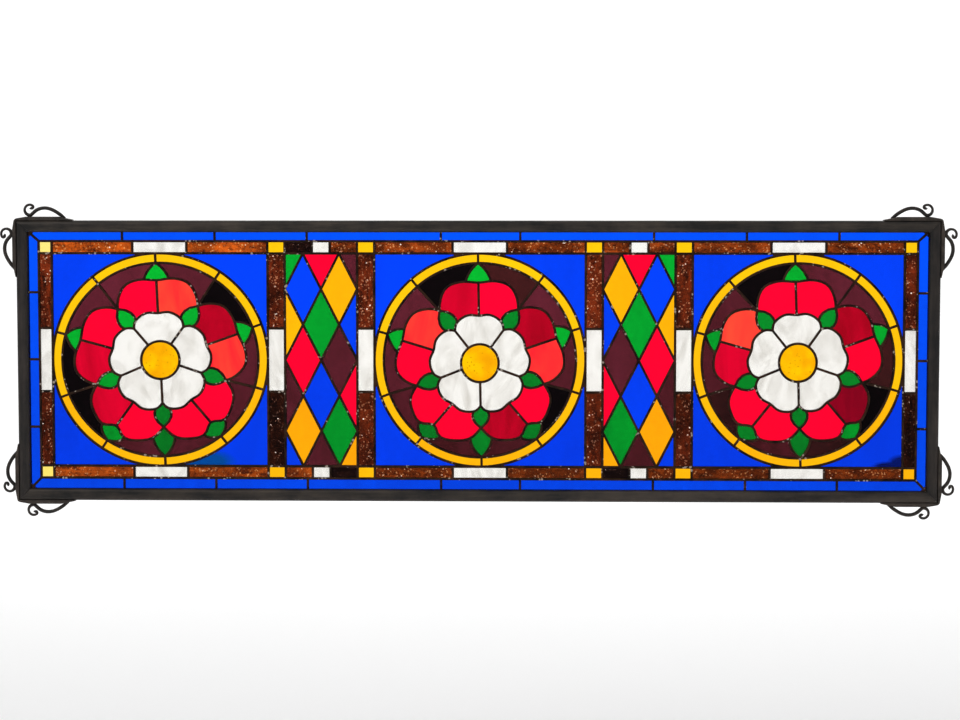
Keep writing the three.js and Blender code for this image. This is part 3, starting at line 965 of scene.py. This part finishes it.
def placeGlass(glass):
    blues = [(outline, 0) for outline in borderTiles()]
    names = ["border_" + side for side in ("top", "bottom", "left", "right")]
    cutGlass("borderTiles", blues, names, [glass["borderBlue"]])
    rails = bandTiles() + postTiles()
    nodes = ["band_top", "band_bottom"] + ["post_%d" % k for k in range(1, 7)]
    kinds = {
        "brownTiles": (["brown", "umber", "darkBrown", "postBrown", "postDark"], "brown_glass"),
        "yellowTiles": (["yellow", "paleYellow"], "yellow_glass"),
        "whiteTiles": (["white"], "white_glass"),
    }
    for name, (colours, slotName) in kinds.items():
        tiles = [(outline, colours.index(kind)) for outline, kind in rails if kind in colours]
        cutGlass(name, tiles, nodes, [glass[colour] for colour in colours])
    diamonds = {
        "left": (posts[1][1], posts[2][0], False),
        "right": (posts[3][1], posts[4][0], True),
    }
    order = ["green", "red", "purple", "blue", "amber"]
    shown = [glass["diamondAmber" if kind == "amber" else kind] for kind in order]
    for side, panel in diamonds.items():
        tiles = [(outline, order.index(kind)) for outline, kind in harlequinTiles(*panel)]
        node = "harlequin_" + side
        cutGlass("diamonds" + side.capitalize(), tiles, [node], shown)
    for name, rose in roses.items():
        placeRose(name, rose, glass)


# frame bars

barForm = {
    "face": 10.8 * mm,
    "depth": 12 * mm,
    "round": 3.4 * mm,
    "slot": 5 * mm,
}


def frameBar(side, length, out, turn, material):
    # a length of channel: rounded stock, a slot along its inner side, mitred ends
    face, depth = barForm["face"], barForm["depth"]
    bpy.ops.mesh.primitive_cube_add(size=1, location=(0, 0, -face / 2))
    bar = bpy.context.object
    bar.name = "frameBar" + side.capitalize()
    bar.scale = (length + 4 * face, depth, face)    # spare length for the mitres
    applyPlace(bar)
    selectWhere(bar, "EDGE", lambda c, d: abs(d.x) > length and abs(c.y) > depth / 3)
    bpy.ops.mesh.bevel(offset=barForm["round"], segments=5, profile=0.5)
    objectMode()
    selectWhere(bar, "FACE", lambda c, n: n.z < -0.99)
    extrudeBy(0, 0, barForm["slot"])
    for end in (1, -1):
        bpy.ops.mesh.select_all(action="SELECT")
        bpy.ops.mesh.bisect(
            plane_co=(end * (length / 2 - gap / 2), 0, 0), plane_no=(end, 0, -1),
            clear_outer=True, use_fill=True,
        )
    objectMode()
    bar.rotation_euler.y = turn
    bar.location = (out * math.sin(turn), 0, middleZ + out * math.cos(turn))
    applyPlace(bar)
    finishPiece(bar, ["frame_" + side], [material], smooth=35)


def makeFrame():
    wide, high = 2 * frameRight, frameHigh - frameLow
    # the upright bars take a darker light colour than the level ones, though all are the same
    # metal: painted shade on the sides of the frame
    level = patina("barPatina", (68, 59, 51), (14, 11, 10), (0.1, 1, 1))
    upright = patina("sideShadedPatina", (56, 48, 43), (14, 11, 10), (1, 1, 0.1))
    frameBar("top", wide, high / 2, 0, level)
    frameBar("right", high, wide / 2, math.pi / 2, upright)
    frameBar("bottom", wide, high / 2, math.pi, level)
    frameBar("left", high, wide / 2, -math.pi / 2, upright)


# corner straps and scrolls

strapForm = {
    "thick": 3.4 * mm,
    "long": 55 * mm,
    "depth": 9.6 * mm,
    "taper": 13 * mm,
    "tip": 0.7 * mm,
    "bend": 9 * mm,       # where it starts to thin towards the corner
    "round": [(2.2, 2.2), (0.9, 2), (-0.5, 1.5)],    # half of its outline round the corner, in mm
    "edge": 0.6 * mm,     # rounding of its long edges
}
scrollForm = {
    # lengths in mm
    "foot": (45, 2.4),       # along the bar from the corner, out from its face
    "crown": (26, 11.2),
    "touch": (12.4, 4.7),
    "crownReach": 9,         # how far the crown's round runs each way
    "endReach": 2.6,
    "curl": (4.86, 4.6),     # radius where the curl starts and where the hook begins
    "sweep": 212,
    "hook": 1.35,
    "hookSweep": 205,
    "wire": 1.7,
    "thin": 1.2,             # wire of the curl
    "thinning": 2.2,         # how soon along the curl it gets there
    "end": 1.4,              # its hammered end
    "archSteps": 14,
    "curlSteps": 24,
    "hookSteps": 12,
}
frameCorners = {
    "TopLeft": (-1, 1),
    "TopRight": (1, 1),
    "BottomLeft": (-1, -1),
    "BottomRight": (1, -1),
}


def nodeName(kind, label, ending=""):
    level = "_top" if "Top" in label else "_bottom"
    return kind + level + ("_left" if "Left" in label else "_right") + ending


def cornerCopy(master, name, along, outward, corner):
    # puts a copy of a piece, drawn as (along, out) from the corner, on its corner of the frame
    piece = addObject(name, master.data.copy())
    high = (frameHigh - frameLow) / 2
    matrix = Matrix.Identity(4)
    matrix.col[0] = (*along, 0)
    matrix.col[2] = (*outward, 0)
    matrix.translation = Vector((corner[0] * frameRight, 0, middleZ + corner[1] * high))
    piece.data.transform(matrix)
    if matrix.determinant() < 0:
        piece.data.flip_normals()
    return piece


def strapMaster():
    # a strap bent round the corner, thinner there and towards both ends
    form = strapForm
    thick, run = form["thick"], form["long"] - form["thick"]
    outline = [(0, 0), (run, 0), (run, form["tip"]), (run - form["taper"], thick)]
    outline += [(form["bend"], thick)] + [(a * mm, b * mm) for a, b in form["round"]]
    outline += [(-b, -a) for a, b in reversed(outline[1:])]
    piece = drawnFaces("strapMaster", [outline], form["depth"] / 2)
    editMode(piece)
    extrudeBy(0, form["depth"], 0)
    faceOutwards()
    near = 0.1 * mm    # the edges that lie on the bar stay sharp
    selectWhere(
        piece, "EDGE",
        lambda c, d: abs(d.y) < near and abs(c.x) + abs(c.z) > 3 * near
        and not (abs(c.z) < near and c.x > 0) and not (abs(c.x) < near and c.z < 0),
    )
    bpy.ops.mesh.bevel(offset=form["edge"], segments=3, profile=0.5)
    objectMode()
    return piece


def curvePoints(start, startReach, end, endReach, steps):
    # a curve between two places, level at both ends
    away = 1 if end[0] > start[0] else -1
    startHand = (start[0] + away * startReach, start[1])
    endHand = (end[0] - away * endReach, end[1])
    points = []
    for k in range(steps):
        t = k / steps
        parts = ((1 - t) ** 3, 3 * t * (1 - t) ** 2, 3 * t ** 2 * (1 - t), t ** 3)
        pulls = list(zip(parts, (start, startHand, endHand, end)))
        points.append([sum(part * pull[i] for part, pull in pulls) for i in (0, 1)])
    return points


def scrollPath():
    # (along, out, wire radius) from the foot over the crown, then the curl and its tight hook
    form = scrollForm
    foot, crown, touch = form["foot"], form["crown"], form["touch"]
    wire, thin, hook = form["wire"], form["thin"], form["hook"]
    steps = form["archSteps"]
    arch = curvePoints(foot, form["endReach"], crown, form["crownReach"], steps)
    arch += curvePoints(crown, form["crownReach"], touch, form["endReach"], steps)
    # the foot is drawn out thin
    path = [(along, out, wire * min(1, 0.4 + k / 8)) for k, (along, out) in enumerate(arch)]
    wide, tight = form["curl"]
    middle = touch[1] + wide
    steps = form["curlSteps"]
    for part in [k / steps for k in range(steps + 1)]:
        radius = wide + (tight - wide) * part
        here = wire + (thin - wire) * min(1, form["thinning"] * part)
        at = math.radians(-90 - form["sweep"] * part)
        path.append((touch[0] + radius * math.cos(at), middle + radius * math.sin(at), here))
    last = math.radians(-90 - form["sweep"])
    centre = tight - hook
    steps = form["hookSteps"]
    for k in range(1, steps + 1):
        at = last - math.radians(form["hookSweep"] * k / steps)
        along = touch[0] + centre * math.cos(last) + hook * math.cos(at)
        out = middle + centre * math.sin(last) + hook * math.sin(at)
        path.append((along, out, thin + (form["end"] - thin) * k / steps))
    return path


def scrollMaster():
    curve = bpy.data.curves.new("scrollWire", "CURVE")
    curve.dimensions = "3D"
    curve.bevel_depth = mm
    curve.bevel_resolution = 3
    curve.use_fill_caps = True
    path = scrollPath()
    line = curve.splines.new("POLY")
    line.points.add(len(path) - 1)
    for point, (along, out, wire) in zip(line.points, path):
        point.co = (along * mm, 0, out * mm, 1)
        point.radius = wire
    pick(addObject("scrollMaster", curve))
    bpy.ops.object.convert(target="MESH")
    return bpy.context.object


def makeCorners():
    material = patina("cornerPatina", (70, 60, 52), (26, 21, 18), (1, 1, 1))
    wireMaterial = patina("wirePatina", (52, 44, 38), (18, 15, 13), (1, 1, 1), 0.36)
    strap, scroll = strapMaster(), scrollMaster()
    for label, corner in frameCorners.items():
        inward, up = (-corner[0], 0, 0), (0, 0, corner[1])
        down, outward = (0, 0, -corner[1]), (corner[0], 0, 0)
        piece = cornerCopy(strap, "strap" + label, inward, up, corner)
        finishPiece(piece, [nodeName("strap", label)], [material], smooth=40)
        for way, along, out in (("Level", inward, up), ("Upright", down, outward)):
            piece = cornerCopy(scroll, "scroll" + label + way, along, out, corner)
            node = nodeName("scroll", label, "_" + way.lower())
            finishPiece(piece, [node], [wireMaterial], smooth=60)
    for master in (strap, scroll):
        bpy.data.objects.remove(master)


# camera, floor and light

viewForm = {"azimuth": 1.64, "elevation": 4.1, "lens": 90, "spot": (0.0658, -2.177, 0.0198)}
stageForm = {
    "middle": (0, 1.2, -0.62),
    "size": (9, 7, 1),
    "wall": 4,
    "sweep": 1.5,    # radius between floor and wall
    "paint": (0.96, 0.96, 0.96, 1),
}
lamps = {
    # place, aim, size, power in watts
    "softboxLeft": ((-1.6, -1.8, 1.6), (0, 0, -0.1), (1.2, 1.2), 14),
    "backWash": ((0, 2.2, 2.6), (0, 4.5, -0.1), (4, 0.8), 72),
}
roomLight = 0.62


def addCamera():
    data = bpy.data.cameras.new("camera")
    data.lens = viewForm["lens"]
    data.clip_end = 50
    camera = addObject("camera", data)
    camera.location = viewForm["spot"]
    tilt = math.radians(90 - viewForm["elevation"])
    camera.rotation_euler = (tilt, 0, math.radians(viewForm["azimuth"]))
    bpy.context.scene.camera = camera


def addLamp(name, place, aim, size, power):
    data = bpy.data.lights.new(name, "AREA")
    data.shape = "RECTANGLE"
    data.size, data.size_y = size
    data.energy = power
    lamp = addObject(name, data)
    lamp.location = place
    lamp.rotation_euler = (Vector(aim) - Vector(place)).to_track_quat("-Z", "Y").to_euler()


def addStage():
    # a pale floor that sweeps up behind the window
    bpy.ops.mesh.primitive_plane_add(size=1, location=stageForm["middle"])
    floor = bpy.context.object
    floor.name = "floor"
    floor.scale = stageForm["size"]
    applyPlace(floor)
    selectWhere(floor, "EDGE", lambda c, d: c.y > 1)    # walls behind and on both sides
    extrudeBy(0, 0, stageForm["wall"])
    objectMode()
    selectWhere(floor, "EDGE", lambda c, d: c.y > 1 and c.z < -0.5 and abs(d.x) > 1)
    bpy.ops.mesh.bevel(offset=stageForm["sweep"], segments=16)
    objectMode()
    graph = Graph("floorPaint")
    graph.set(Base_Color=stageForm["paint"], Roughness=0.9)
    floor.data.materials.append(graph.material)
    pick(floor)
    bpy.ops.object.shade_smooth()


def addLights():
    world = bpy.data.worlds.new("room")
    bpy.context.scene.world = world
    world.use_nodes = True
    world.node_tree.nodes["Background"].inputs["Color"].default_value = (1, 1, 1, 1)
    world.node_tree.nodes["Background"].inputs["Strength"].default_value = roomLight
    for name, lamp in lamps.items():
        addLamp(name, *lamp)
    bpy.context.scene.view_settings.view_transform = "Standard"


addCamera()
addStage()
addLights()
glass = makeGlass()
placeGlass(glass)
print("glass: %d tiles" % len(allOutlines))
solderMaterial = patina(
    "solderPatina", (66, 42, 28), (20, 11, 7), (1, 1, 1), rough=0.36, specks=0.34, shine=0.15,
)
solderLines(solderFills(), solderMaterial)
print("solder lines done")
makeFrame()
makeCorners()
print("frame, straps and scrolls done")
